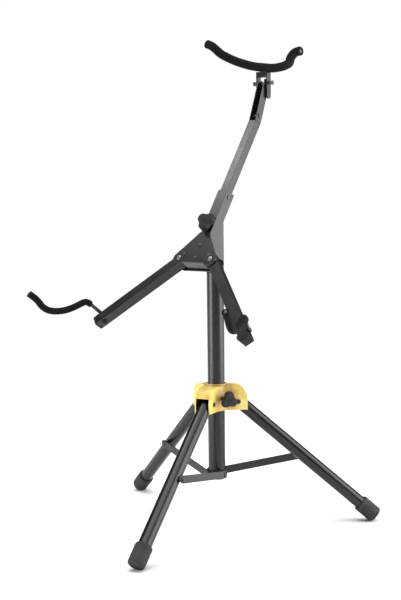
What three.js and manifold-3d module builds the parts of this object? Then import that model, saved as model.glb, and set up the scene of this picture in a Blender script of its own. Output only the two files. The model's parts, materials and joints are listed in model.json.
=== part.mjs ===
// Folding saxophone stand: a round post on a three-legged base that folds like an umbrella,
// a head of two pressed plates with two lower arms and hooks, and a telescoping upper arm
// with a padded bell rest. Millimetres, +Z up. The post axis is x = y = 0 while the pieces are
// laid out; at the end the whole stand is shifted so its footprint is centred on the origin.
import * as THREE from "three";
import { mergeVertices } from "three/addons/utils/BufferGeometryUtils.js";
import Module from "manifold-3d";

const wasm = await Module();
wasm.setup();

const rad = THREE.MathUtils.degToRad;
const V2 = (x, y) => new THREE.Vector2(x, y);
const V3 = (x, y, z) => new THREE.Vector3(x, y, z);
const SIDES = { left: -1, right: 1 };

// ---- driving dimensions -------------------------------------------------------------------

const RUNNING_GAP = 0.08; // radial clearance of every pin and sliding tube
const FIT_GAP = 0.1; // air left between fixed neighbours

const POST = { radius: 15, wall: 1.5, bottom: 100, top: 447 };
const PLUG = { flange: 3, depth: 14 };
const HUB = { bottom: 84, radius: 18, flat: 15.5, rivetDepth: 8 };

const LEG = {
  azimuths: [3, 123, 243],
  slope: 41,
  radius: 11.5,
  wall: 1.5,
  pivotR: 37.5,
  pivotZ: 221.6,
  length: 320.8,
  tail: 10,
};
const FOOT = { radius: 14.7, length: 36, overrun: 2.8, round: 3 };
const LEG_PIN = { radius: 3, bore: 1.8, flange: 4.3, flangeDepth: 0.6 };

const YOKE = {
  bottom: 207,
  top: 250,
  reach: 54,
  cheek: 14.4,
  pocket: 12.2,
  pocketR: 21,
  valleyR: 26,
  roof: 3,
  doorTop: 233,
  crownR: 29,
  shoulderZ: 224,
  ringR: 18.6,
  ringTop: 253,
};

const BRACE = {
  width: 13,
  thick: 2.5,
  offset: 15.6,
  innerR: 2,
  innerZ: 90.9,
  outerR: 155.7,
  outerZ: 118.2,
};
const BRACE_PIN = { radius: 2.5, head: 4.6, headDepth: 1.4, legGap: 0.5 };

const KNOB = { lobe: 8.5, lobeAt: 9, waist: 10.5, spread: 75, bevel: 1.8, bore: 6 };
const LOWER_KNOB = { azimuth: 303, inner: 36, outer: 45, z: 228, scale: 0.9, stem: 4 };
const UPPER_KNOB = { along: 44, inner: 1.6, outer: 14, stem: 3, nut: 6.5 };

const HEAD = { azimuth: -40, lean: 33.5, forward: 41.3, height: 495.3 };
const PLATE = {
  thick: 2,
  foldAlong: -32,
  foldHalf: 24,
  flange: 20,
  top: 27,
  topHalf: 8,
  shoulder: [15, 20],
  waist: [26, 5],
};
const EAR = { across: 34.9, along: -24.8, radius: 12.4, start: -105, end: 25 };
const DETENT = { across: 27.2, along: -18.8 };
const LOW_RIVET_ALONG = -24.5;
const BACK_PLATE = { depth: -22.4, thick: 2, top: -4, foot: -37 };
const RIVET = { radius: 2.5, head: 4.2, headDepth: 1.5 };
const ARM_PIN = { radius: 3, head: 4.4, headDepth: 1.8, bush: 7 };

const KNEE = {
  half: 10.8,
  wall: 1.6,
  front: -2.3,
  rear: -22,
  top: 115,
  columnRear: -11,
  columnFront: 10,
  throat: 16,
};
const SLEEVE = { half: 8.9, wall: 1, depth: -11.2, bottom: -2, rivetAlong: 105 };
const UPPER_ARM = { half: 7.75, wall: 1.3, bottom: 10, bend: 265 };
const NECK = { lean: 20.4, length: 80.5, pinAt: 74.7, wall: 1.5, rivetAt: 12 };
const CLEVIS = { half: 12.5, wall: 2.4, depth: 11, drop: 28, crotch: 10.5, rise: 20.5 };
const CLEVIS_PIN = { radius: 2.5, half: 21, head: 4, headDepth: 2, bush: 4.6 };

const REST = { radius: 8, behind: 1.7, rise: 28.4, roll: 8.4, seatGap: 0.4 };
// Half of the bell rest's centreline: across, forward and up from its middle.
const REST_HALF = [
  [17, 0.4, 0],
  [30, 3.6, 1.2],
  [56, 12, 6.3],
  [72.5, 21.4, 12.4],
  [78.5, 30.6, 16.7],
  [94, 39, 29],
  [106, 40, 32],
];

// Each lower arm and hook stands at its own angle, as if set by hand.
const ARM = {
  splayLeft: 44,
  splayRight: 46.5,
  half: 8.75,
  wall: 1.4,
  depth: -11.15,
  tail: 13,
  length: 192,
};
const PLUG_END = { lip: 3, spigot: 8 };
const HOOK = {
  rodRadius: 3.3,
  padRadius: 6,
  pivotAt: 177,
  below: 13.5,
  bendStart: 10.5,
  bendCorner: 15,
  splayLeft: 18,
  splayRight: 24,
  nut: 5.5,
  nutDepth: 3.5,
  socket: 7,
};
// Hook centreline in its upright plane: distance out and height, from the middle of the arm end.
const HOOK_ROD = [[-7, 19], [3, 27.4]];
const HOOK_PAD = [
  [12, 35],
  [21, 39.8],
  [33, 36],
  [48, 30.4],
  [64, 27],
  [80, 26.8],
  [94, 30],
  [104, 37],
  [113, 48.5],
  [127, 59.5],
];

// ---- finishes -----------------------------------------------------------------------------

const FINISHES = {
  blackPaint: { color: 0x25262a, roughness: 0.45, metalness: 0.4 },
  greyPaint: { color: 0x3a3c42, roughness: 0.5, metalness: 0.4 },
  yellowPaint: { color: 0xe3b830, roughness: 0.45, metalness: 0.1 },
  darkSteel: { color: 0x4a4c50, roughness: 0.35, metalness: 0.8 },
  brightSteel: { color: 0xa8abb0, roughness: 0.3, metalness: 0.9 },
  blackPlastic: { color: 0x1c1e22, roughness: 0.6, metalness: 0.0 },
  rubber: { color: 0x2b2b2d, roughness: 0.85, metalness: 0.0 },
  softRubber: { color: 0x151516, roughness: 0.95, metalness: 0.0 },
};

// ---- geometry helpers ---------------------------------------------------------------------

function toManifold(geometry) {
  const bare = new THREE.BufferGeometry();
  bare.setAttribute("position", geometry.getAttribute("position"));
  bare.setIndex(geometry.getIndex());
  const welded = mergeVertices(bare, 1e-4);
  const mesh = new wasm.Mesh({
    numProp: 3,
    vertProperties: welded.getAttribute("position").array,
    triVerts: Uint32Array.from(welded.getIndex().array),
  });
  return new wasm.Manifold(mesh);
}

function toGeometry(manifold) {
  const mesh = manifold.getMesh();
  const geometry = new THREE.BufferGeometry();
  geometry.setAttribute("position", new THREE.BufferAttribute(mesh.vertProperties, 3));
  geometry.setIndex(new THREE.BufferAttribute(mesh.triVerts, 1));
  geometry.computeVertexNormals();
  return geometry;
}

function cut(body, ...tools) {
  return toGeometry(tools.reduce((rest, tool) => rest.subtract(toManifold(tool)), toManifold(body)));
}

function join(...pieces) {
  return toGeometry(pieces.map(toManifold).reduce((whole, piece) => whole.add(piece)));
}

function overlap(first, second) {
  return toGeometry(toManifold(first).intersect(toManifold(second)));
}

function box(x, y, z) {
  const block = new THREE.BoxGeometry(x[1] - x[0], y[1] - y[0], z[1] - z[0]);
  return block.translate((x[0] + x[1]) / 2, (y[0] + y[1]) / 2, (z[0] + z[1]) / 2);
}

// Solid or ring turned about the Z axis from [radius, height] corners.
function turned(corners, segments) {
  const points = corners.map(([radius, height]) => V2(radius, height));
  return new THREE.LatheGeometry(points, segments).rotateX(rad(90));
}

function rod(radius, from, to, segments = 16) {
  return turned([[0, from], [radius, from], [radius, to], [0, to]], segments);
}

function pipe(outer, inner, from, to, segments = 24) {
  return turned([[inner, from], [outer, from], [outer, to], [inner, to], [inner, from]], segments);
}

// Rivet or pin along Z: a shank with a domed head past its far end.
function headed(pin, from, to) {
  const crown = to + pin.headDepth;
  return turned([
    [0, from],
    [pin.radius, from],
    [pin.radius, to],
    [pin.head, to],
    [pin.head, to + pin.headDepth * 0.45],
    [pin.head * 0.7, crown],
    [0, crown],
  ], 16);
}

function outline(points) {
  return new THREE.Shape(points.map(([x, y]) => V2(x, y)));
}

function slab(shape, from, to, curveSegments = 5) {
  const options = { depth: to - from, bevelEnabled: false, curveSegments };
  return new THREE.ExtrudeGeometry(shape, options).translate(0, 0, from);
}

function alongX(geometry) {
  return geometry.rotateY(rad(90));
}

function alongY(geometry) {
  return geometry.rotateX(rad(-90));
}

// Slab whose outline is drawn in the Y-Z plane and whose thickness runs along X.
function slabX(points, from, to) {
  return slab(outline(points), from, to).rotateX(rad(90)).rotateZ(rad(90));
}

function disc(radius) {
  return new THREE.Shape().absarc(0, 0, radius, 0, 2 * Math.PI, false);
}

function swept(curve, radius, steps, quarterSides) {
  const options = { steps, bevelEnabled: false, extrudePath: curve, curveSegments: quarterSides };
  return new THREE.ExtrudeGeometry(disc(radius), options);
}

function squareTube(half, wall, from, to) {
  const bore = half - wall;
  const skin = box([-half, half], [from, to], [-half, half]);
  return cut(skin, box([-bore, bore], [from - 1, to + 1], [-bore, bore]));
}

function meshOf(name, geometry, finish) {
  const mesh = new THREE.Mesh(geometry, new THREE.MeshStandardMaterial(FINISHES[finish]));
  mesh.name = name;
  return mesh;
}

function frameGroup(parent, position, rotation) {
  const group = new THREE.Group();
  group.position.copy(position);
  group.rotation.set(...rotation);
  parent.add(group);
  return group;
}

// ---- base ---------------------------------------------------------------------------------

function bottomHub() {
  const spigotR = POST.radius - POST.wall - FIT_GAP;
  const spigot = rod(spigotR, POST.bottom - 1, POST.bottom + PLUG.depth, 32);
  let hub = join(rod(HUB.radius, HUB.bottom, POST.bottom - FIT_GAP, 32), spigot);
  for (const azimuth of LEG.azimuths) {
    const side = box([-HUB.radius, HUB.radius], [HUB.flat, 2 * HUB.flat], [HUB.bottom - 1, POST.bottom]);
    const hole = alongY(rod(BRACE_PIN.radius + RUNNING_GAP, HUB.rivetDepth - 1, HUB.radius));
    hole.translate(BRACE.innerR, 0, BRACE.innerZ);
    hub = cut(hub, side.rotateZ(rad(azimuth)), hole.rotateZ(rad(azimuth)));
  }
  return hub;
}

function topPlug() {
  const inner = POST.radius - POST.wall - FIT_GAP;
  return turned([
    [0, POST.top - PLUG.depth],
    [inner, POST.top - PLUG.depth],
    [inner, POST.top + FIT_GAP],
    [POST.radius, POST.top + FIT_GAP],
    [POST.radius, POST.top + PLUG.flange],
    [0, POST.top + PLUG.flange],
  ], 32);
}

// Plan of the yoke: three square-ended prongs with hollow curves between them.
function yokePlan() {
  const shape = new THREE.Shape();
  const corner = (azimuth, r, h) => V2(r, h).rotateAround(V2(0, 0), rad(azimuth));
  const valley = YOKE.cheek / Math.sin(rad(60));
  const start = corner(LEG.azimuths[0], YOKE.valleyR, -YOKE.cheek);
  shape.moveTo(start.x, start.y);
  for (const azimuth of LEG.azimuths) {
    const prong = [[YOKE.reach, -YOKE.cheek], [YOKE.reach, YOKE.cheek], [YOKE.valleyR, YOKE.cheek]];
    for (const [r, h] of prong) {
      const point = corner(azimuth, r, h);
      shape.lineTo(point.x, point.y);
    }
    const middle = corner(azimuth + 60, valley, 0);
    const next = corner(azimuth + 120, YOKE.valleyR, -YOKE.cheek);
    shape.quadraticCurveTo(middle.x, middle.y, next.x, next.y);
  }
  return shape;
}

// Side view of one prong: flat underneath, rounded over at the outer top edge.
function prongProfile() {
  const shape = new THREE.Shape();
  shape.moveTo(0, YOKE.bottom);
  shape.lineTo(YOKE.reach, YOKE.bottom);
  shape.lineTo(YOKE.reach, YOKE.shoulderZ);
  shape.quadraticCurveTo(YOKE.reach, YOKE.top, YOKE.crownR, YOKE.top);
  shape.lineTo(0, YOKE.top);
  return shape;
}

// Hollow under one prong that the leg swings in, open below and at the outer end.
function prongPocket() {
  const roof = YOKE.top - YOKE.roof;
  const shape = new THREE.Shape();
  shape.moveTo(YOKE.pocketR, YOKE.bottom - 1);
  shape.lineTo(YOKE.reach + 1, YOKE.bottom - 1);
  shape.lineTo(YOKE.reach + 1, YOKE.doorTop);
  shape.lineTo(YOKE.reach - YOKE.roof, YOKE.doorTop);
  shape.quadraticCurveTo(YOKE.reach - 2 * YOKE.roof, roof, YOKE.crownR, roof);
  shape.lineTo(YOKE.pocketR, roof);
  return shape;
}

function inLegPlane(shape, half, azimuth) {
  return slab(shape, -half, half, 4).rotateX(rad(90)).rotateZ(rad(azimuth));
}

function yoke() {
  const wide = 2 * YOKE.valleyR;
  const crowns = LEG.azimuths.map((azimuth) => inLegPlane(prongProfile(), wide, azimuth));
  const plan = slab(yokePlan(), YOKE.bottom - 1, YOKE.top + 1, 5);
  let body = overlap(plan, join(...crowns));
  body = join(body, rod(YOKE.ringR, YOKE.top - 2, YOKE.ringTop, 32));
  for (const azimuth of LEG.azimuths) {
    const hole = alongY(rod(LEG_PIN.radius + RUNNING_GAP, -YOKE.cheek - 1, YOKE.cheek + 1));
    hole.translate(LEG.pivotR, 0, LEG.pivotZ);
    body = cut(body, inLegPlane(prongPocket(), YOKE.pocket, azimuth), hole.rotateZ(rad(azimuth)));
  }
  const bore = rod(POST.radius + 2 * RUNNING_GAP, YOKE.bottom - 1, YOKE.ringTop + 1, 32);
  const thread = alongX(rod(LOWER_KNOB.stem + RUNNING_GAP, POST.radius - 1, YOKE.valleyR));
  thread.translate(0, 0, LOWER_KNOB.z);
  return cut(body, bore, thread.rotateZ(rad(LOWER_KNOB.azimuth)));
}

function legPin() {
  const { radius, bore, flange, flangeDepth } = LEG_PIN;
  const end = YOKE.cheek + RUNNING_GAP;
  return alongY(turned([
    [bore, -end - flangeDepth],
    [flange, -end - flangeDepth],
    [flange, -end],
    [radius, -end],
    [radius, end],
    [flange, end],
    [flange, end + flangeDepth],
    [bore, end + flangeDepth],
    [bore, -end - flangeDepth],
  ], 16));
}

// Leg pieces are drawn along +X from the leg pivot.
function legTube() {
  const tube = alongX(pipe(LEG.radius, LEG.radius - LEG.wall, -LEG.tail, LEG.length - FOOT.round));
  const hole = alongY(rod(LEG_PIN.radius + RUNNING_GAP, -LEG.radius - 1, LEG.radius + 1));
  return cut(tube, hole);
}

// Moulded cap with a rounded end, an inside bore for the tube and a small flat sole at z = 0.
function footCap() {
  const end = LEG.length + FOOT.overrun;
  const lip = end - FOOT.length;
  const inner = LEG.radius + FIT_GAP;
  const seat = LEG.length - FOOT.round + FIT_GAP;
  const profile = new THREE.Path();
  profile.moveTo(0, seat);
  profile.lineTo(inner, seat);
  profile.lineTo(inner, lip);
  profile.lineTo(FOOT.radius - 1, lip);
  profile.lineTo(FOOT.radius, lip + 1);
  profile.absarc(FOOT.radius - FOOT.round, end - FOOT.round, FOOT.round, 0, rad(90), false);
  profile.lineTo(0, end);
  return alongX(turned(profile.getPoints(2).map((point) => [point.x, point.y]), 24));
}

function soleCut() {
  const reach = LEG.length * 2;
  const floor = box([-reach, reach], [-reach, reach], [-FOOT.radius * 2, 0]);
  floor.translate(-LEG.pivotR, 0, -LEG.pivotZ);
  return floor.rotateY(rad(-LEG.slope));
}

function addLeg(parent, index, azimuth) {
  const swing = frameGroup(parent, V3(0, 0, 0), [0, 0, rad(azimuth)]);
  const leg = frameGroup(swing, V3(LEG.pivotR, 0, LEG.pivotZ), [0, rad(LEG.slope), 0]);
  leg.add(meshOf(`leg_tube_${index}`, legTube(), "blackPaint"));
  leg.add(meshOf(`foot_cap_${index}`, cut(footCap(), soleCut()), "rubber"));
  const pin = meshOf(`leg_pin_${index}`, legPin(), "darkSteel");
  pin.position.set(LEG.pivotR, 0, LEG.pivotZ);
  swing.add(pin);
  addBrace(swing, index);
}

// Flat strip along +X with rounded ends and a hole at each pivot; thickness along +Y.
function braceStrip(length) {
  const half = BRACE.width / 2;
  const shape = new THREE.Shape();
  shape.absarc(0, 0, half, rad(90), rad(270), false);
  shape.absarc(length, 0, half, rad(-90), rad(90), false);
  const strip = slab(shape, -BRACE.offset - BRACE.thick, -BRACE.offset).rotateX(rad(90));
  const reach = BRACE.offset + BRACE.thick + 1;
  const hole = (x) => alongY(rod(BRACE_PIN.radius + RUNNING_GAP, 0, reach)).translate(x, 0, 0);
  return cut(strip, hole(0), hole(length));
}

function addBrace(swing, index) {
  const run = BRACE.outerR - BRACE.innerR;
  const climb = BRACE.outerZ - BRACE.innerZ;
  const face = BRACE.offset + BRACE.thick + FIT_GAP;
  const group = frameGroup(swing, V3(BRACE.innerR, 0, BRACE.innerZ), [0, -Math.atan2(climb, run), 0]);
  const length = Math.hypot(run, climb);
  group.add(meshOf(`brace_${index}`, braceStrip(length), "blackPaint"));
  const hubRivet = alongY(headed(BRACE_PIN, HUB.rivetDepth, face));
  group.add(meshOf(`brace_hub_rivet_${index}`, hubRivet, "darkSteel"));
  const inside = LEG.radius + BRACE_PIN.legGap;
  const washer = pipe(BRACE_PIN.head, BRACE_PIN.radius - 1, inside, BRACE.offset - FIT_GAP, 16);
  const legRivet = join(headed(BRACE_PIN, inside, face), washer);
  const outer = meshOf(`brace_leg_rivet_${index}`, alongY(legRivet), "darkSteel");
  outer.position.x = length;
  group.add(outer);
}

// ---- knobs --------------------------------------------------------------------------------

// Three-lobed hand knob along +Z with one lobe towards +Y and a blind bore in its back.
function knob(stem, depth) {
  const shape = new THREE.Shape();
  const at = (radius, turn) => V2(radius, 0).rotateAround(V2(0, 0), rad(turn));
  const lobe = KNOB.lobe - KNOB.bevel;
  for (const turn of [90, 210, 330]) {
    const centre = at(KNOB.lobeAt, turn);
    shape.absarc(centre.x, centre.y, lobe, rad(turn - KNOB.spread), rad(turn + KNOB.spread), false);
    const waist = at(KNOB.waist - KNOB.bevel, turn + 60);
    const next = at(KNOB.lobeAt, turn + 120).add(at(lobe, turn + 120 - KNOB.spread));
    shape.quadraticCurveTo(waist.x, waist.y, next.x, next.y);
  }
  const options = {
    depth: depth - 2 * KNOB.bevel,
    bevelThickness: KNOB.bevel,
    bevelSize: KNOB.bevel,
    bevelSegments: 2,
    curveSegments: 3,
  };
  const body = new THREE.ExtrudeGeometry(shape, options).translate(0, 0, KNOB.bevel);
  return cut(body, rod(stem + RUNNING_GAP, -1, KNOB.bore));
}

function addLowerKnob(stand) {
  const { azimuth, inner, outer, z, scale, stem } = LOWER_KNOB;
  const swing = frameGroup(stand, V3(0, 0, z), [0, 0, rad(azimuth)]);
  const screw = alongX(rod(stem, POST.radius + RUNNING_GAP, inner + KNOB.bore - 1));
  swing.add(meshOf("yoke_screw", screw, "darkSteel"));
  const body = knob(stem / scale, outer - inner).scale(scale, scale, 1).rotateZ(rad(90));
  const mesh = meshOf("yoke_knob", alongX(body), "blackPlastic");
  mesh.position.x = inner;
  swing.add(mesh);
}

// ---- head: plates, knee bracket and sleeve ------------------------------------------------
// Head frame: X across, Y back, Z up. Slope frame: X across, Y up the leaning arm, Z out of
// the front plate; its origin is the middle of the front plate's face.

function leanFrom(lean) {
  return [rad(90 - lean), 0, 0];
}

function slopeMatrix() {
  const turn = new THREE.Euler(...leanFrom(HEAD.lean));
  const matrix = new THREE.Matrix4().makeRotationFromEuler(turn);
  return matrix.setPosition(0, -HEAD.forward, HEAD.height);
}

function slopeToHead(x, y, z) {
  return V3(x, y, z).applyMatrix4(slopeMatrix());
}

// Outline of the pressed front plate: an ear at each lower corner, sides hollowed to a narrow top.
function plateOutline() {
  const [shoulderX, shoulderY] = PLATE.shoulder;
  const [waistX, waistY] = PLATE.waist;
  const earX = EAR.across - EAR.radius * Math.cos(rad(180 - EAR.end));
  const earY = EAR.along + EAR.radius * Math.sin(rad(EAR.end));
  const cornerX = (PLATE.topHalf + shoulderX) / 2;
  const shape = new THREE.Shape();
  shape.moveTo(-PLATE.foldHalf, PLATE.foldAlong);
  shape.lineTo(PLATE.foldHalf, PLATE.foldAlong);
  shape.absarc(EAR.across, EAR.along, EAR.radius, rad(EAR.start), rad(EAR.end), false);
  shape.quadraticCurveTo(waistX, waistY, shoulderX, shoulderY);
  shape.quadraticCurveTo(cornerX, PLATE.top, PLATE.topHalf, PLATE.top);
  shape.lineTo(-PLATE.topHalf, PLATE.top);
  shape.quadraticCurveTo(-cornerX, PLATE.top, -shoulderX, shoulderY);
  shape.quadraticCurveTo(-waistX, waistY, -earX, earY);
  shape.absarc(-EAR.across, EAR.along, EAR.radius, rad(180 - EAR.end), rad(180 - EAR.start), false);
  return shape;
}

function frontPlate() {
  const face = slab(plateOutline(), -PLATE.thick, 0);
  const flange = box(
    [-PLATE.foldHalf, PLATE.foldHalf],
    [PLATE.foldAlong - PLATE.thick, PLATE.foldAlong],
    [-PLATE.flange, -PLATE.thick / 2],
  );
  const bend = alongX(rod(PLATE.thick, -PLATE.foldHalf, PLATE.foldHalf));
  bend.translate(0, PLATE.foldAlong, -PLATE.thick);
  return cut(join(face, flange, bend), ...plateHoles(-PLATE.flange, PLATE.thick));
}

function plateHoles(from, to) {
  const holes = [];
  const add = (radius, x, y) => holes.push(rod(radius + RUNNING_GAP, from, to).translate(x, y, 0));
  add(RIVET.radius, 0, 0);
  add(RIVET.radius, 0, LOW_RIVET_ALONG);
  for (const side of Object.values(SIDES)) {
    add(RIVET.radius, side * DETENT.across, DETENT.along);
    add(ARM_PIN.radius, side * EAR.across, EAR.along);
  }
  return holes;
}

function backPlate() {
  const { depth, thick, top, foot } = BACK_PLATE;
  const shape = new THREE.Shape();
  shape.moveTo(-PLATE.foldHalf, foot);
  shape.lineTo(PLATE.foldHalf, foot);
  shape.absarc(EAR.across, EAR.along, EAR.radius, rad(-90), rad(90), false);
  shape.lineTo(KNEE.half, top);
  shape.lineTo(-KNEE.half, top);
  shape.absarc(-EAR.across, EAR.along, EAR.radius, rad(90), rad(270), false);
  return cut(slab(shape, depth - thick, depth), ...plateHoles(depth - 2 * thick, depth + thick));
}

// Bent U-channel: an upright column that stands on the post and a leaning part that holds the
// sleeve. Points are [back, up] in the head frame.
function kneeBracket() {
  const { half, wall, front, rear, top, columnRear, columnFront, throat } = KNEE;
  const at = (along, out) => {
    const point = slopeToHead(0, along, out);
    return [point.y, point.z];
  };
  const floor = POST.top + PLUG.flange + FIT_GAP;
  const heightOn = (out, y) => {
    const [y0, z0] = at(0, out);
    return z0 + (y - y0) / Math.tan(rad(HEAD.lean));
  };
  const cheeks = slabX([
    [-columnFront, floor],
    [-columnRear, floor],
    [-columnRear, heightOn(rear, -columnRear)],
    at(top, rear),
    at(top, front),
    at(SLEEVE.bottom, front),
    at(SLEEVE.bottom, rear + wall),
    [-columnFront, floor + throat],
  ], -half, half);
  const inset = half - wall;
  const hollow = slabX([
    [-HEAD.height, floor + wall],
    [-columnRear - wall, floor + wall],
    [-columnRear - wall, heightOn(rear + wall, -columnRear - wall)],
    at(top + half, rear + wall),
    at(top + half, HEAD.forward),
    [-HEAD.height, HEAD.height],
  ], -inset, inset);
  const hole = alongX(rod(RIVET.radius + RUNNING_GAP, -half - 1, half + 1));
  const spot = slopeToHead(0, SLEEVE.rivetAlong, SLEEVE.depth);
  return cut(cheeks, hollow, hole.translate(0, spot.y, spot.z));
}

function armSleeve() {
  const tube = squareTube(SLEEVE.half, SLEEVE.wall, SLEEVE.bottom, KNEE.top);
  const cross = alongX(rod(RIVET.radius + RUNNING_GAP, -SLEEVE.half - 1, SLEEVE.half + 1));
  const nose = rod(RIVET.radius + RUNNING_GAP, 0, SLEEVE.half + 1);
  const thread = rod(UPPER_KNOB.stem + RUNNING_GAP, 0, SLEEVE.half + 1);
  cross.translate(0, SLEEVE.rivetAlong, 0);
  thread.translate(0, UPPER_KNOB.along, 0);
  return cut(tube, cross, nose, thread).translate(0, 0, SLEEVE.depth);
}

function addPlates(slope) {
  slope.add(meshOf("front_plate", frontPlate(), "greyPaint"));
  slope.add(meshOf("back_plate", backPlate(), "blackPaint"));
  slope.add(meshOf("arm_sleeve", armSleeve(), "greyPaint"));
  const boreFace = SLEEVE.depth + SLEEVE.half - SLEEVE.wall;
  slope.add(meshOf("plate_rivet_top", headed(RIVET, boreFace, FIT_GAP), "darkSteel"));
  const rear = BACK_PLATE.depth - BACK_PLATE.thick;
  const pillar = rod(RIVET.head, BACK_PLATE.depth + FIT_GAP, -PLATE.thick - FIT_GAP);
  const tail = rod(RIVET.head, rear - RIVET.headDepth, rear - FIT_GAP);
  const shank = headed(RIVET, rear - RIVET.headDepth, FIT_GAP);
  const low = meshOf("plate_rivet_low", join(shank, pillar, tail), "darkSteel");
  low.position.y = LOW_RIVET_ALONG;
  slope.add(low);
  for (const [word, side] of Object.entries(SIDES)) {
    addPlateHardware(slope, word, side);
  }
}

function addPlateHardware(slope, word, side) {
  const rear = BACK_PLATE.depth - BACK_PLATE.thick - FIT_GAP;
  const detent = meshOf(`detent_rivet_${word}`, headed(RIVET, -PLATE.thick, FIT_GAP), "darkSteel");
  detent.position.set(side * DETENT.across, DETENT.along, 0);
  slope.add(detent);
  const tail = rod(ARM_PIN.head, rear - ARM_PIN.headDepth, rear);
  const pin = meshOf(`arm_pin_${word}`, join(headed(ARM_PIN, rear - 1, FIT_GAP), tail), "brightSteel");
  pin.position.set(side * EAR.across, EAR.along, 0);
  slope.add(pin);
  const armBack = ARM.depth - ARM.half;
  const bore = ARM_PIN.radius + RUNNING_GAP;
  const ring = pipe(ARM_PIN.bush, bore, BACK_PLATE.depth + FIT_GAP, armBack - FIT_GAP, 16);
  const bush = meshOf(`arm_bush_${word}`, ring, "blackPlastic");
  bush.position.copy(pin.position);
  slope.add(bush);
  const shank = headed(RIVET, SLEEVE.half - SLEEVE.wall, KNEE.half + FIT_GAP);
  const rivet = meshOf(`sleeve_rivet_${word}`, shank, "darkSteel");
  rivet.rotation.y = rad(90 * side);
  rivet.position.set(0, SLEEVE.rivetAlong, SLEEVE.depth);
  slope.add(rivet);
}

function addUpperKnob(slope) {
  const { along, inner, outer, stem, nut } = UPPER_KNOB;
  const place = frameGroup(slope, V3(0, along, 0), [0, 0, rad(180)]);
  const armFace = SLEEVE.depth + UPPER_ARM.half;
  const sleeveFace = SLEEVE.depth + SLEEVE.half;
  place.add(meshOf("arm_screw", rod(stem, armFace + FIT_GAP, inner + KNOB.bore - 1), "darkSteel"));
  place.add(meshOf("arm_knob", knob(stem, outer - inner).translate(0, 0, inner), "blackPlastic"));
  const bore = rod(stem + RUNNING_GAP, sleeveFace, inner);
  const hexagon = rod(nut, sleeveFace + FIT_GAP, inner - 4 * FIT_GAP, 6);
  place.add(meshOf("arm_nut", cut(hexagon, bore), "darkSteel"));
}

// ---- upper arm, neck and bell rest --------------------------------------------------------

// The tube and the neck above it are both cut on the plane that halves the bend between them.
function upperArm() {
  const { half, wall, bottom, bend } = UPPER_ARM;
  const tube = squareTube(half, wall, bottom, bend + half);
  const waste = box([-2 * half, 2 * half], [-FIT_GAP / 2, 4 * half], [-2 * half, 2 * half]);
  waste.rotateX(rad((HEAD.lean - NECK.lean) / 2)).translate(0, bend, 0);
  return cut(tube, waste).translate(0, 0, SLEEVE.depth);
}

// Channel open to the front that carries on from the upper arm at a steeper angle.
function neckChannel() {
  const { half } = UPPER_ARM;
  const inset = half - NECK.wall;
  const block = box([-half, half], [-half, NECK.length], [-half, half]);
  const channel = box([-inset, inset], [-2 * half, NECK.length + 1], [-inset, half + 1]);
  const waste = box([-2 * half, 2 * half], [-4 * half, FIT_GAP / 2], [-2 * half, 2 * half]);
  waste.rotateX(rad((NECK.lean - HEAD.lean) / 2));
  const crossHole = (radius, y) => {
    return alongX(rod(radius + RUNNING_GAP, -half - 1, half + 1)).translate(0, y, 0);
  };
  const pinHole = crossHole(CLEVIS_PIN.radius, NECK.pinAt);
  return cut(block, channel, waste, pinHole, crossHole(RIVET.radius, NECK.rivetAt));
}

function neckRivet() {
  const half = UPPER_ARM.half + FIT_GAP;
  const head = () => rod(RIVET.head, half, half + RIVET.headDepth);
  const shank = rod(RIVET.radius, -half - 1, half + 1);
  return alongX(join(shank, head(), head().rotateX(rad(180))));
}

// Inverted U that straddles the neck, with a hollow in its solid top for the bell rest.
function clevis() {
  const { half, wall, depth, drop, crotch, rise } = CLEVIS;
  const shape = new THREE.Shape();
  shape.moveTo(depth / 2, rise);
  shape.lineTo(-depth / 2, rise);
  shape.lineTo(-depth / 2, -drop + depth / 2);
  shape.absarc(0, -drop + depth / 2, depth / 2, rad(180), rad(360), false);
  const block = slab(shape, -half, half, 4).rotateX(rad(90)).rotateZ(rad(90));
  const inset = half - wall;
  const slot = box([-inset, inset], [-depth, depth], [-drop - 1, crotch]);
  const hole = alongX(rod(CLEVIS_PIN.radius + RUNNING_GAP, -half - 1, half + 1));
  const saddle = alongX(rod(REST.radius + REST.seatGap, -2 * half, 2 * half, 28)).rotateY(rad(REST.roll));
  return cut(block, slot, hole, saddle.translate(0, REST.behind, REST.rise));
}

function clevisPin() {
  const { radius, half, head, headDepth, bush } = CLEVIS_PIN;
  const neckSide = UPPER_ARM.half + FIT_GAP;
  const cheekSide = CLEVIS.half - CLEVIS.wall - FIT_GAP;
  const steps = [[0, -half], [head, -half], [head, -half + headDepth], [radius, -half + headDepth]];
  steps.push([radius, -cheekSide], [bush, -cheekSide], [bush, -neckSide], [radius, -neckSide]);
  const mirrored = steps.map(([r, z]) => [r, -z]).reverse();
  return alongX(turned(steps.concat(mirrored), 16));
}

function bellRest() {
  const right = REST_HALF.map(([across, forward, up]) => V3(across, -forward, up));
  const left = REST_HALF.map(([across, forward, up]) => V3(-across, -forward, up)).reverse();
  const curve = new THREE.CatmullRomCurve3([...left, V3(0, 0, 0), ...right]);
  return swept(curve, REST.radius, 36, 7);
}

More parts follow.
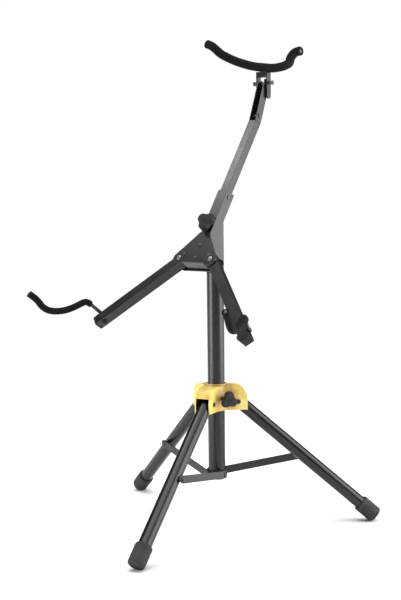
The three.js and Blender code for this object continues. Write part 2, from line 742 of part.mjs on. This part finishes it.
function addUpperArm(head, slope) {
  slope.add(meshOf("upper_arm", upperArm(), "greyPaint"));
  const bend = slopeToHead(0, UPPER_ARM.bend, SLEEVE.depth);
  const neck = frameGroup(head, bend, leanFrom(NECK.lean));
  neck.add(meshOf("neck_channel", neckChannel(), "greyPaint"));
  const rivet = meshOf("neck_rivet", neckRivet(), "darkSteel");
  rivet.position.y = NECK.rivetAt;
  neck.add(rivet);
  const upNeck = V3(0, Math.sin(rad(NECK.lean)), Math.cos(rad(NECK.lean)));
  const pinSpot = upNeck.multiplyScalar(NECK.pinAt).add(bend);
  const top = frameGroup(head, pinSpot, [0, 0, 0]);
  top.add(meshOf("clevis", clevis(), "blackPaint"));
  top.add(meshOf("clevis_pin", clevisPin(), "darkSteel"));
  const rest = meshOf("bell_rest", bellRest(), "softRubber");
  rest.position.set(0, REST.behind, REST.rise);
  rest.rotation.y = rad(REST.roll);
  top.add(rest);
}

// ---- lower arms and hooks -----------------------------------------------------------------

// Frame of one lower arm in the slope frame: X along the arm from its pivot.
function armMatrix(side) {
  const angle = side > 0 ? -ARM.splayRight : ARM.splayLeft + 180;
  const turn = new THREE.Matrix4().makeRotationZ(rad(angle));
  return turn.setPosition(side * EAR.across, EAR.along, ARM.depth);
}

function armToHead(side, along, above, out) {
  return V3(along, side * above, out).applyMatrix4(armMatrix(side)).applyMatrix4(slopeMatrix());
}

function lowerArm() {
  const end = ARM.length - PLUG_END.lip - FIT_GAP;
  const tube = squareTube(ARM.half, ARM.wall, -ARM.tail, end).rotateZ(rad(-90));
  const pinHole = rod(ARM_PIN.radius + RUNNING_GAP, -ARM.half - 1, ARM.half + 1);
  const rodHole = alongY(rod(HOOK.rodRadius + RUNNING_GAP, -ARM.half - 1, ARM.half + 1));
  return cut(tube, pinHole, rodHole.translate(HOOK.pivotAt, 0, 0));
}

function endPlug() {
  const face = ARM.length - PLUG_END.lip;
  const inset = ARM.half - ARM.wall - FIT_GAP;
  const lip = box([face, ARM.length], [-ARM.half, ARM.half], [-ARM.half, ARM.half]);
  return join(lip, box([face - PLUG_END.spigot, face + 1], [-inset, inset], [-inset, inset]));
}

function hookPoint(side, [out, up]) {
  const end = armToHead(side, ARM.length, 0, 0);
  const splay = rad(side > 0 ? HOOK.splayRight : HOOK.splayLeft);
  return V3(side * out * Math.sin(splay), -out * Math.cos(splay), up).add(end);
}

// Point on the bare rod's last straight, measured past the start of the pad.
function hookJoint(side, past) {
  const start = hookPoint(side, HOOK_PAD[0]);
  const along = start.clone().sub(hookPoint(side, HOOK_ROD[1])).normalize();
  return start.addScaledVector(along, past);
}

// Bare rod: straight through the arm end, one tight bend, then into the padded part.
function hookRod(side) {
  const foot = armToHead(side, HOOK.pivotAt, -HOOK.below, 0);
  const neck = armToHead(side, HOOK.pivotAt, HOOK.bendStart, 0);
  const elbow = armToHead(side, HOOK.pivotAt, HOOK.bendCorner, 0);
  const [bendEnd, straight] = HOOK_ROD.map((point) => hookPoint(side, point));
  const path = new THREE.CurvePath();
  path.add(new THREE.LineCurve3(foot, neck));
  path.add(new THREE.QuadraticBezierCurve3(neck, elbow, bendEnd));
  path.add(new THREE.LineCurve3(bendEnd, straight));
  path.add(new THREE.LineCurve3(straight, hookJoint(side, HOOK.socket - 1)));
  return swept(path, HOOK.rodRadius, 22, 5);
}

function hookPad(side) {
  const curve = new THREE.CatmullRomCurve3(HOOK_PAD.map((point) => hookPoint(side, point)));
  const socket = new THREE.LineCurve3(hookJoint(side, -HOOK.socket), hookJoint(side, HOOK.socket));
  return cut(swept(curve, HOOK.padRadius, 26, 6), swept(socket, HOOK.rodRadius * 1.1, 1, 5));
}

function hookNut() {
  const nut = rod(HOOK.nut, ARM.half + FIT_GAP, ARM.half + HOOK.nutDepth, 6);
  return cut(nut, rod(HOOK.rodRadius + RUNNING_GAP, 0, 2 * ARM.half));
}

function addLowerArm(head, slope, word, side) {
  const arm = new THREE.Group();
  arm.applyMatrix4(armMatrix(side));
  slope.add(arm);
  arm.add(meshOf(`lower_arm_${word}`, lowerArm(), "greyPaint"));
  arm.add(meshOf(`arm_end_plug_${word}`, endPlug(), "blackPlastic"));
  const nut = meshOf(`hook_nut_${word}`, hookNut(), "darkSteel");
  nut.rotation.x = rad(90 * side);
  nut.position.x = HOOK.pivotAt;
  arm.add(nut);
  head.add(meshOf(`hook_rod_${word}`, hookRod(side), "blackPaint"));
  head.add(meshOf(`hook_pad_${word}`, hookPad(side), "softRubber"));
}

// ---- assembly -----------------------------------------------------------------------------

function buildStand() {
  const stand = new THREE.Group();
  stand.name = "saxophone_stand";
  const { radius, wall, bottom, top } = POST;
  stand.add(meshOf("post_tube", pipe(radius, radius - wall, bottom, top, 32), "blackPaint"));
  stand.add(meshOf("post_top_plug", topPlug(), "blackPlastic"));
  stand.add(meshOf("bottom_hub", bottomHub(), "blackPlastic"));
  stand.add(meshOf("yoke", yoke(), "yellowPaint"));
  addLowerKnob(stand);
  LEG.azimuths.forEach((azimuth, order) => addLeg(stand, order + 1, azimuth));

  const head = frameGroup(stand, V3(0, 0, 0), [0, 0, rad(HEAD.azimuth)]);
  const slope = frameGroup(head, V3(0, -HEAD.forward, HEAD.height), leanFrom(HEAD.lean));
  head.add(meshOf("knee_bracket", kneeBracket(), "greyPaint"));
  addPlates(slope);
  addUpperKnob(slope);
  addUpperArm(head, slope);
  for (const [word, side] of Object.entries(SIDES)) {
    addLowerArm(head, slope, word, side);
  }

  const middle = new THREE.Box3().setFromObject(stand, true).getCenter(V3(0, 0, 0));
  stand.position.set(-middle.x, -middle.y, 0);
  const placed = new THREE.Group();
  placed.add(stand);
  placed.updateMatrixWorld(true);
  return placed;
}

export default buildStand();
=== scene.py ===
"""Looks for the folding saxophone stand: materials, rounded edges, smooth sleeves and small
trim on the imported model, a pale studio and a camera at the photograph's viewing angle."""

import json
import math

import bmesh
import bpy
from mathutils import Matrix, Vector


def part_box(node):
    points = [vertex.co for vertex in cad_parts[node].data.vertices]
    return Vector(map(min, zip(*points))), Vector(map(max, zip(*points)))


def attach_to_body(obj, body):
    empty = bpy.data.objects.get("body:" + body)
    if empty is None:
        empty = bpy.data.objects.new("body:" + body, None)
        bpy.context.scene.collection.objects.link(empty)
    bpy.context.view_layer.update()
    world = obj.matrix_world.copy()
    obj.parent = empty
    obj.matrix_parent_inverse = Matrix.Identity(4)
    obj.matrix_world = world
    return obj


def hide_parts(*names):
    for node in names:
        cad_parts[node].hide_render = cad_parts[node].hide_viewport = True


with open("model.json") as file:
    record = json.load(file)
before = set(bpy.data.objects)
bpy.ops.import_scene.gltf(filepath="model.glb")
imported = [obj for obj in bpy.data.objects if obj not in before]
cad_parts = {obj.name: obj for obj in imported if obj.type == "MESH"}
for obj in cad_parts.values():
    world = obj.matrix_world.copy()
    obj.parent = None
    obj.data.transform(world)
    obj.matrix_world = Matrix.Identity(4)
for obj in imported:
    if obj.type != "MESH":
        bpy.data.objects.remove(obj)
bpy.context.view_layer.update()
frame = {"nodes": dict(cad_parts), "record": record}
MM = 0.001
UP = Vector((0, 0, 1))
NODES = frame["nodes"]
SLOTS = {entry["node"]: entry["material_slot"] for entry in frame["record"]["subparts"]}
BODY_OF = {
    node: body for body, nodes in frame["record"]["behaviour"]["bodies"].items() for node in nodes
}
JOINTS = {joint["name"]: joint for joint in frame["record"]["behaviour"]["joints"]}


def add_object(name, data):
    obj = bpy.data.objects.new(name, data)
    bpy.context.scene.collection.objects.link(obj)
    return obj


# ---- materials --------------------------------------------------------------------------

# Colour sockets of the Mix node, which shares their names with its number sockets.
MIX_FIRST, MIX_SECOND, MIX_RESULT = 6, 7, 2
BEVEL_SAMPLES = 4
SHADE_SAMPLES = 8
# Cosine of a rounded normal's lean where wear starts, and where it is full.
WEAR_STARTS = 0.98
WEAR_FULL = 0.80


class Paint:
    """A Principled material with a few chained helpers for procedural detail."""

    def __init__(self, name, **sockets):
        self.material = bpy.data.materials.new(name)
        self.material.use_nodes = True
        self.tree = self.material.node_tree
        self.shader = self.tree.nodes["Principled BSDF"]
        for socket, value in sockets.items():
            self.shader.inputs[socket.replace("_", " ")].default_value = value
        self.place = self.tree.nodes.new("ShaderNodeTexCoord").outputs["Object"]
        self.height = None

    def feed(self, socket, value):
        """Links a node's output to socket, or sets a plain number or colour on it."""
        if isinstance(value, bpy.types.NodeSocket):
            self.tree.links.new(value, socket)
        elif isinstance(value, tuple):
            socket.default_value = (*value, 1.0)
        else:
            socket.default_value = value

    def node(self, kind, **inputs):
        node = self.tree.nodes.new(kind)
        for name, value in inputs.items():
            self.feed(node.inputs[name.replace("_", " ")], value)
        return node

    def noise(self, scale, detail=3.0, roughness=0.55):
        node = self.node("ShaderNodeTexNoise", Scale=scale, Detail=detail, Roughness=roughness)
        self.feed(node.inputs["Vector"], self.place)
        return node.outputs["Fac"]

    def cells(self, scale):
        node = self.node("ShaderNodeTexVoronoi", Scale=scale, Vector=self.place)
        return node.outputs["Distance"]

    def ramp(self, value, stops):
        node = self.node("ShaderNodeValToRGB", Fac=value)
        ramp = node.color_ramp
        while len(ramp.elements) < len(stops):
            ramp.elements.new(0.5)
        for element, (position, colour) in zip(ramp.elements, stops):
            element.position = position
            element.color = (*colour, 1.0)
        return node.outputs["Color"]

    def between(self, value, low, high):
        node = self.node("ShaderNodeMapRange", To_Min=low, To_Max=high, Value=value)
        return node.outputs["Result"]

    def mix(self, factor, first, second, blend="MIX"):
        node = self.tree.nodes.new("ShaderNodeMix")
        node.data_type = "RGBA"
        node.blend_type = blend
        self.feed(node.inputs["Factor"], factor)
        self.feed(node.inputs[MIX_FIRST], first)
        self.feed(node.inputs[MIX_SECOND], second)
        return node.outputs[MIX_RESULT]

    def times(self, first, second):
        node = self.tree.nodes.new("ShaderNodeMath")
        node.operation = "MULTIPLY"
        self.feed(node.inputs[0], first)
        self.feed(node.inputs[1], second)
        return node.outputs["Value"]

    def wear(self, reach):
        """Near 1 on outside edges and 0 on flats, from how far a rounded normal leans away."""
        rounded = self.node("ShaderNodeBevel", Radius=reach)
        rounded.samples = BEVEL_SAMPLES
        flat = self.node("ShaderNodeNewGeometry")
        lean = self.tree.nodes.new("ShaderNodeVectorMath")
        lean.operation = "DOT_PRODUCT"
        self.feed(lean.inputs[0], rounded.outputs["Normal"])
        self.feed(lean.inputs[1], flat.outputs["Normal"])
        worn = self.node("ShaderNodeMapRange", From_Min=WEAR_STARTS, From_Max=WEAR_FULL)
        self.feed(worn.inputs["Value"], lean.outputs["Value"])
        return worn.outputs["Result"]

    def open_air(self, reach):
        """Ambient occlusion as a mask: 1 on open faces, falling towards 0 in hollows narrower
        than reach; used to paint shade into hollows.
        """
        node = self.node("ShaderNodeAmbientOcclusion", Distance=reach)
        node.samples = SHADE_SAMPLES
        return node.outputs["AO"]

    def colour(self, value):
        self.feed(self.shader.inputs["Base Color"], value)

    def roughness(self, value):
        self.feed(self.shader.inputs["Roughness"], value)

    def bump(self, value, distance, strength):
        node = self.node("ShaderNodeBump", Strength=strength, Distance=distance, Height=value)
        if self.height is not None:
            self.feed(node.inputs["Normal"], self.height)
        self.height = node.outputs["Normal"]
        self.feed(self.shader.inputs["Normal"], self.height)


def powder_coat(name, dark, light, worn, roughness, gloss):
    """Satin powder coat: fine orange peel, slow tone drift and slightly rubbed outside edges."""
    paint = Paint(name, Metallic=0.0, IOR=1.5, Specular_IOR_Level=gloss)
    drift = paint.ramp(paint.noise(scale=14.0, detail=4.0), [(0.35, dark), (0.68, light)])
    patches = paint.between(paint.noise(scale=120.0), low=0.0, high=1.0)
    paint.colour(paint.mix(paint.times(paint.wear(0.8 * MM), patches), drift, worn))
    sheen = paint.noise(scale=60.0, detail=5.0)
    paint.roughness(paint.between(sheen, low=roughness - 0.07, high=roughness + 0.09))
    paint.bump(paint.noise(scale=1400.0, detail=2.0), distance=0.05 * MM, strength=0.5)
    paint.bump(paint.noise(scale=300.0, detail=1.0), distance=0.06 * MM, strength=0.35)
    return paint.material


def yellow_paint():
    """Golden gloss paint on a casting: slight pooling, painted brown shade in hollows, pale worn
    edges.
    """
    thick, even, thin = (0.52, 0.31, 0.045), (0.80, 0.57, 0.12), (0.92, 0.73, 0.24)
    # Painted shade colour for hollows, white for open faces, and the colour of worn edges.
    painted_hollow_shade, clear, worn = (0.24, 0.115, 0.012), (1.0, 1.0, 1.0), (0.92, 0.80, 0.46)
    paint = Paint("yellow_paint", Metallic=0.0, IOR=1.5, Coat_Weight=0.35, Coat_Roughness=0.22)
    pooling = paint.noise(scale=38.0, detail=4.0)
    pooled = paint.ramp(pooling, [(0.3, thick), (0.5, even), (0.72, thin)])
    # Painted shade: ambient occlusion darkens hollows and the area under the knob towards brown,
    # and body multiplies it into the pooled paint colour.
    shade = paint.ramp(paint.open_air(34 * MM), [(0.35, painted_hollow_shade), (0.85, clear)])
    body = paint.mix(1.0, pooled, shade, blend="MULTIPLY")
    patches = paint.between(paint.noise(scale=150.0), low=0.1, high=0.9)
    paint.colour(paint.mix(paint.times(paint.wear(1.0 * MM), patches), body, worn))
    paint.roughness(paint.between(paint.noise(scale=90.0, detail=4.0), low=0.30, high=0.5))
    paint.bump(paint.noise(scale=700.0, detail=2.0), distance=0.05 * MM, strength=0.5)
    return paint.material


def plated_steel(name, dark, light, roughness):
    """Zinc plate: crystalline mottling and an uneven gloss."""
    paint = Paint(name, Metallic=0.9)
    paint.colour(paint.ramp(paint.cells(900.0), [(0.1, dark), (0.7, light)]))
    gloss = paint.noise(scale=500.0, detail=5.0)
    paint.roughness(paint.between(gloss, low=roughness - 0.08, high=roughness + 0.14))
    paint.bump(paint.noise(scale=1800.0, detail=2.0), distance=0.03 * MM, strength=0.4)
    return paint.material


def moulded_plastic():
    """Spark-textured black plastic with a blue cast and paler rubbed edges."""
    dark, light, worn = (0.006, 0.007, 0.009), (0.014, 0.015, 0.019), (0.045, 0.048, 0.055)
    paint = Paint("black_plastic", Metallic=0.0, IOR=1.49, Specular_IOR_Level=0.25)
    grain = paint.cells(1500.0)
    shade = paint.ramp(paint.noise(scale=60.0, detail=4.0), [(0.35, dark), (0.7, light)])
    patches = paint.between(paint.noise(scale=200.0), low=0.0, high=1.0)
    paint.colour(paint.mix(paint.times(paint.wear(0.9 * MM), patches), shade, worn))
    paint.roughness(paint.between(grain, low=0.42, high=0.66))
    paint.bump(grain, distance=0.12 * MM, strength=0.6)
    return paint.material


def moulded_rubber():
    """Matt grey-black rubber, uneven in tone and scuffed pale on its edges."""
    dark, light, scuffed = (0.012, 0.012, 0.013), (0.026, 0.026, 0.027), (0.085, 0.085, 0.09)
    paint = Paint("rubber", Metallic=0.0, IOR=1.5)
    shade = paint.ramp(paint.noise(scale=45.0, detail=5.0), [(0.35, dark), (0.72, light)])
    patches = paint.between(paint.noise(scale=130.0), low=0.0, high=0.9)
    paint.colour(paint.mix(paint.times(paint.wear(1.4 * MM), patches), shade, scuffed))
    paint.roughness(paint.between(paint.noise(scale=400.0), low=0.62, high=0.85))
    paint.bump(paint.noise(scale=1100.0), distance=0.10 * MM, strength=0.7)
    return paint.material


def soft_coating():
    """Deep black soft coating: matt closed-cell skin with tiny dimples."""
    dark, light = (0.003, 0.003, 0.003), (0.008, 0.008, 0.008)
    paint = Paint("soft_rubber", Metallic=0.0, IOR=1.45, Specular_IOR_Level=0.15)
    paint.colour(paint.ramp(paint.noise(scale=80.0, detail=5.0), [(0.3, dark), (0.75, light)]))
    paint.roughness(paint.between(paint.noise(scale=260.0), low=0.72, high=0.92))
    paint.bump(paint.cells(950.0), distance=0.22 * MM, strength=0.7)
    paint.bump(paint.noise(scale=120.0), distance=0.25 * MM, strength=0.4)
    return paint.material


MATERIALS = {
    "black_paint": powder_coat(
        "black_paint",
        dark=(0.004, 0.004, 0.0045),
        light=(0.008, 0.008, 0.009),
        worn=(0.06, 0.06, 0.062),
        roughness=0.25,
        gloss=0.42,
    ),
    "grey_paint": powder_coat(
        "grey_paint",
        dark=(0.010, 0.010, 0.011),
        light=(0.018, 0.018, 0.019),
        worn=(0.12, 0.12, 0.125),
        roughness=0.33,
        gloss=0.5,
    ),
    "yellow_paint": yellow_paint(),
    "dark_steel": plated_steel(
        "dark_steel", dark=(0.03, 0.03, 0.032), light=(0.09, 0.09, 0.095), roughness=0.34
    ),
    "bright_steel": plated_steel(
        "bright_steel", dark=(0.20, 0.20, 0.21), light=(0.36, 0.36, 0.37), roughness=0.30
    ),
    "black_plastic": moulded_plastic(),
    "rubber": moulded_rubber(),
    "soft_rubber": soft_coating(),
}


def dress(obj, slot):
    obj.data.materials.clear()
    obj.data.materials.append(MATERIALS[slot])


# ---- CAD nodes: rounded edges -----------------------------------------------------------

WELD_REACH = 0.005 * MM
FLAT_ANGLE = math.radians(0.5)
EDGE_ANGLE = math.radians(38)
EDGE_SEGMENTS = 2
FINE_EDGE = 0.25 * MM
EDGE_WIDTH = {
    "yoke": 1.0 * MM,
    "lower_arm_left": 1.1 * MM,
    "lower_arm_right": 1.1 * MM,
    "upper_arm": 1.1 * MM,
    "arm_sleeve": 0.9 * MM,
    "neck_channel": 0.5 * MM,
    "arm_end_plug_left": 0.9 * MM,
    "arm_end_plug_right": 0.9 * MM,
    "front_plate": 0.6 * MM,
    "back_plate": 0.6 * MM,
    "clevis": 0.6 * MM,
    "knee_bracket": 0.5 * MM,
}


def round_edges(obj, width):
    """Welds the imported triangles, flattens coplanar ones and rounds every hard edge."""
    for polygon in obj.data.polygons:
        polygon.use_smooth = True
    weld = obj.modifiers.new("weld", "WELD")
    weld.merge_threshold = WELD_REACH
    flat = obj.modifiers.new("flatten", "DECIMATE")
    flat.decimate_type = "DISSOLVE"
    flat.angle_limit = FLAT_ANGLE
    bevel = obj.modifiers.new("rounding", "BEVEL")
    bevel.limit_method = "ANGLE"
    bevel.angle_limit = EDGE_ANGLE
    bevel.width = width
    bevel.segments = EDGE_SEGMENTS
    bevel.use_clamp_overlap = True
    normals = obj.modifiers.new("normals", "WEIGHTED_NORMAL")
    normals.keep_sharp = True


# ---- new pieces -------------------------------------------------------------------------


def smooth_object(name, mesh):
    """Smooth-shaded object made from a bmesh, which it frees."""
    for face in mesh.faces:
        face.smooth = True
    data = bpy.data.meshes.new(name)
    mesh.to_mesh(data)
    mesh.free()
    return add_object(name, data)


def attach(piece, slot, body):
    dress(piece, slot)
    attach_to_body(piece, body)


# ---- bent rods and sleeves: smooth stand-ins --------------------------------------------

# Two triangles become one quad when they are this flat together and this near a rectangle.
QUAD_FLATNESS = math.radians(25)
QUAD_SQUARENESS = math.radians(60)
CREASE_ANGLE = math.radians(55)
CREASE_STRENGTH = 0.75
SMOOTH_LEVELS = 2


def smooth_copy(node, swell):
    """Quad-and-subdivide copy of a swept CAD node; swell makes up for the shrinkage."""
    mesh = bmesh.new()
    mesh.from_mesh(NODES[node].data)
    bmesh.ops.remove_doubles(mesh, verts=mesh.verts, dist=WELD_REACH)
    bmesh.ops.join_triangles(
        mesh,
        faces=mesh.faces,
        angle_face_threshold=QUAD_FLATNESS,
        angle_shape_threshold=QUAD_SQUARENESS,
    )
    mesh.normal_update()
    crease = mesh.edges.layers.float.new("crease_edge")
    for edge in mesh.edges:
        if len(edge.link_faces) == 2 and edge.calc_face_angle() > CREASE_ANGLE:
            edge[crease] = CREASE_STRENGTH
    for vert in mesh.verts:
        vert.co += vert.normal * swell
    piece = smooth_object(f"{node}_smooth", mesh)
    subdivide = piece.modifiers.new("subdivide", "SUBSURF")
    subdivide.levels = SMOOTH_LEVELS
    subdivide.render_levels = SMOOTH_LEVELS
    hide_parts(node)
    attach(piece, SLOTS[node], BODY_OF[node])


# ---- small trim -------------------------------------------------------------------------

SAME_POINT = 0.001 * MM
SAME_PLANE = 0.01 * MM
TIP_SPAN = 20 * MM
TURNED_SIDES = 32
# Turned outlines as (share of the radius, height in mm) pairs.
BUTTON_OUTLINE = [(0, -1.2), (1, -1.2), (1, 0.35), (0.86, 0.75), (0.5, 1.0), (0, 1.1)]
INSERT_OUTLINE = [(0, -1.5), (1, -1.5), (1, 0.5), (0.85, 0.8), (0.6, 0.8), (0.5, 0.2), (0, 0.2)]
REST_BUTTON = 3.6 * MM
HOOK_BUTTON = 3.0 * MM
ARM_INSERT = 4.5 * MM
YOKE_INSERT = 4.0 * MM
# Closed ring as (radius in mm, height in mm) pairs, just proud of a foot cap's mouth.
BAND_OUTLINE = [(14.2, -0.9), (14.95, -0.5), (14.95, 0.5), (14.2, 0.9), (14.2, -0.9)]
BAND_SIDES = 48
BANDS_FROM_LEG_END = (27 * MM, 23.5 * MM)
LEG_SLOPE = math.radians(41)


def middle_of(data):
    return sum((vert.co for vert in data.vertices), Vector()) / len(data.vertices)


def tip_of(node, reach):
    """(centre, outward normal) of the flat end of a swept node that reach() scores highest."""
    data = NODES[node].data
    far = max((vert.co for vert in data.vertices), key=reach)
    touching = []
    for face in data.polygons:
        if any((data.vertices[index].co - far).length < SAME_POINT for index in face.vertices):
            touching.append(face)
    outward = (far - middle_of(data)).normalized()
    normal = max(touching, key=lambda face: face.normal.dot(outward) * face.area).normal.copy()
    ring = [vert.co for vert in data.vertices if abs((vert.co - far).dot(normal)) < SAME_PLANE]
    ring = [point for point in ring if (point - far).length < TIP_SPAN]
    low = Vector([min(point[axis] for point in ring) for axis in range(3)])
    high = Vector([max(point[axis] for point in ring) for axis in range(3)])
    return (low + high) / 2, normal


def turned_piece(name, profile, centre, axis, body, slot, sides=TURNED_SIDES):
    """Closed piece turned from (radius, height) pairs about axis through centre."""
    mesh = bmesh.new()
    side = axis.orthogonal().normalized()
    across = axis.cross(side)
    rings = []
    for radius, height in profile:
        if radius == 0:
            rings.append([mesh.verts.new(centre + axis * height)])
            continue
        ring = []
        for step in range(sides):
            angle = 2 * math.pi * step / sides
            spoke = side * math.cos(angle) + across * math.sin(angle)
            ring.append(mesh.verts.new(centre + axis * height + spoke * radius))
        rings.append(ring)
    for first, second in zip(rings, rings[1:]):
        for step in range(sides):
            corners = [first[step % len(first)], first[(step + 1) % len(first)]]
            corners += [second[(step + 1) % len(second)], second[step % len(second)]]
            mesh.faces.new(list(dict.fromkeys(corners)))
    bmesh.ops.recalc_face_normals(mesh, faces=mesh.faces)
    attach(smooth_object(name, mesh), slot, body)


def scaled(outline, radius):
    return [(share * radius, height * MM) for share, height in outline]


def end_button(name, node, reach, radius):
    """Low domed button on the end of a sleeve, where the steel core shows."""
    centre, outward = tip_of(node, reach)
    profile = scaled(BUTTON_OUTLINE, radius)
    turned_piece(name, profile, centre, outward, BODY_OF[node], "dark_steel")


def knob_insert(name, knob, joint, radius):
    """Low plastic cap with a dished middle on the face of a knob."""
    axis = Vector(JOINTS[joint]["axis"]).normalized()
    pivot = Vector(JOINTS[joint]["pos_m"])
    top = max((vert.co - pivot).dot(axis) for vert in NODES[knob].data.vertices)
    profile = scaled(INSERT_OUTLINE, radius)
    turned_piece(name, profile, pivot + axis * top, axis, BODY_OF[knob], "black_plastic")


def foot_bands(index):
    """Two moulded bands round the mouth of a foot cap."""
    leg = NODES[f"leg_tube_{index}"].data
    cap = NODES[f"foot_cap_{index}"].data
    joint = JOINTS[f"leg_fold_{index}"]
    pivot = Vector(joint["pos_m"])
    level = Vector(joint["axis"]).normalized().cross(UP).normalized()
    if (middle_of(cap) - pivot).dot(level) < 0:
        level = -level
    axis = (level * math.cos(LEG_SLOPE) - UP * math.sin(LEG_SLOPE)).normalized()
    reach = max((vert.co - pivot).length for vert in leg.vertices)
    profile = scaled(BAND_OUTLINE, MM)
    for number, back in enumerate(BANDS_FROM_LEG_END, start=1):
        name = f"foot_band_{index}_{number}"
        centre = pivot + axis * (reach - back)
        turned_piece(name, profile, centre, axis, f"leg_{index}", "rubber", BAND_SIDES)


# ---- build ------------------------------------------------------------------------------

SWELL = {
    "bell_rest": 0.12 * MM,
    "hook_pad_left": 0.15 * MM,
    "hook_pad_right": 0.15 * MM,
    "hook_rod_left": 0.10 * MM,
    "hook_rod_right": 0.10 * MM,
}
for node, obj in NODES.items():
    dress(obj, SLOTS[node])
    if node not in SWELL:
        round_edges(obj, EDGE_WIDTH.get(node, FINE_EDGE))
for node, swell in SWELL.items():
    smooth_copy(node, swell)

tilt_axis = Vector(JOINTS["bell_rest_tilt"]["axis"])
end_button("rest_end_right", "bell_rest", lambda point: point.dot(tilt_axis), REST_BUTTON)
end_button("rest_end_left", "bell_rest", lambda point: -point.dot(tilt_axis), REST_BUTTON)
for word in ("left", "right"):
    pivot = Vector(JOINTS[f"hook_{word}_swing"]["pos_m"])
    pad = f"hook_pad_{word}"
    end_button(f"hook_end_{word}", pad, lambda point: (point - pivot).length, HOOK_BUTTON)
knob_insert("arm_knob_insert", "arm_knob", "arm_knob_turn", ARM_INSERT)
knob_insert("yoke_knob_insert", "yoke_knob", "yoke_knob_turn", YOKE_INSERT)
for index in (1, 2, 3):
    foot_bands(index)


# ---- studio -----------------------------------------------------------------------------

FLOOR_REACH = 60.0
WORLD_GLOW = 0.04
SUN_POWER = 3.4
SUN_SPREAD = math.radians(70)
SENSOR_WIDTH = 36.0
LENS = 67.07
CAMERA_DISTANCE = 1.938
CAMERA_HEIGHT = 0.584
CAMERA_PAN = math.radians(-0.77)
CAMERA_TILT = math.radians(5.45)
CAMERA_ROLL = math.radians(-0.61)


def floor():
    """Plain pale ground, large enough to reach the horizon from any side."""
    data = bpy.data.meshes.new("floor")
    corners = [(-1, -1), (1, -1), (1, 1), (-1, 1)]
    points = [(x * FLOOR_REACH, y * FLOOR_REACH, 0) for x, y in corners]
    data.from_pydata(points, [], [(0, 1, 2, 3)])
    ground = add_object("floor", data)
    pale, paler = (0.90, 0.90, 0.90), (0.93, 0.93, 0.93)
    paper = Paint("paper", Roughness=0.9, Specular_IOR_Level=0.0)
    paper.colour(paper.ramp(paper.noise(scale=3.0), [(0.3, pale), (0.7, paler)]))
    data.materials.append(paper.material)


def softbox(name, place, target, size, power):
    """Rectangular panel of light at place, facing target."""
    light = bpy.data.lights.new(name, "AREA")
    light.shape = "RECTANGLE"
    light.size, light.size_y = size
    light.energy = power
    obj = add_object(name, light)
    obj.location = place
    facing = Vector(target) - Vector(place)
    obj.rotation_euler = facing.to_track_quat("-Z", "Y").to_euler()


def sun():
    """Very soft light from straight above that keeps the ground white everywhere."""
    light = bpy.data.lights.new("sun", "SUN")
    light.energy = SUN_POWER
    light.angle = SUN_SPREAD
    add_object("sun", light)


def surroundings():
    """White to the camera, but nearly dark in reflections and as a light."""
    world = bpy.data.worlds.new("studio")
    world.use_nodes = True
    tree = world.node_tree
    path = tree.nodes.new("ShaderNodeLightPath")
    level = tree.nodes.new("ShaderNodeMapRange")
    level.inputs["To Min"].default_value = WORLD_GLOW
    level.inputs["To Max"].default_value = 1.0
    tree.links.new(path.outputs["Is Camera Ray"], level.inputs["Value"])
    tree.links.new(level.outputs["Result"], tree.nodes["Background"].inputs["Strength"])
    tree.nodes["Background"].inputs["Color"].default_value = (1.0, 1.0, 1.0, 1.0)
    bpy.context.scene.world = world


def studio():
    """A wide panel on each side, and a small one that lights the leaning upper arm."""
    surroundings()
    sun()
    softbox("left_box", (-1.5, -0.6, 0.25), target=(0.0, 0.0, 0.3), size=(1.2, 1.0), power=24)
    softbox("right_box", (1.6, -0.2, 0.7), target=(0.0, 0.0, 0.6), size=(1.5, 1.8), power=40)
    arm = (0.02, 0.11, 0.72)
    softbox("arm_box", (-0.51, 0.22, 1.29), target=arm, size=(0.25, 0.25), power=2.0)
    bpy.context.scene.view_settings.view_transform = "Standard"


def camera():
    """Level with the foot of the upper arm, almost square on and tilted slightly down."""
    low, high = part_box("post_tube")
    post = Vector(((low[0] + high[0]) / 2, (low[1] + high[1]) / 2, 0.0))
    along = math.cos(CAMERA_TILT)
    side, depth = math.sin(CAMERA_PAN) * along, math.cos(CAMERA_PAN) * along
    ahead = Vector((side, depth, -math.sin(CAMERA_TILT)))
    right = ahead.cross(UP).normalized()
    up = right.cross(ahead)
    turned_right = right * math.cos(CAMERA_ROLL) + up * math.sin(CAMERA_ROLL)
    turned_up = up * math.cos(CAMERA_ROLL) - right * math.sin(CAMERA_ROLL)
    data = bpy.data.cameras.new("camera")
    data.sensor_width = SENSOR_WIDTH
    data.lens = LENS
    obj = add_object("camera", data)
    turn = Matrix((turned_right, turned_up, -ahead)).transposed().to_4x4()
    place = post + Vector((0.0, -CAMERA_DISTANCE, CAMERA_HEIGHT))
    obj.matrix_world = Matrix.Translation(place) @ turn
    bpy.context.scene.camera = obj


floor()
studio()
camera()

bpy.context.view_layer.update()
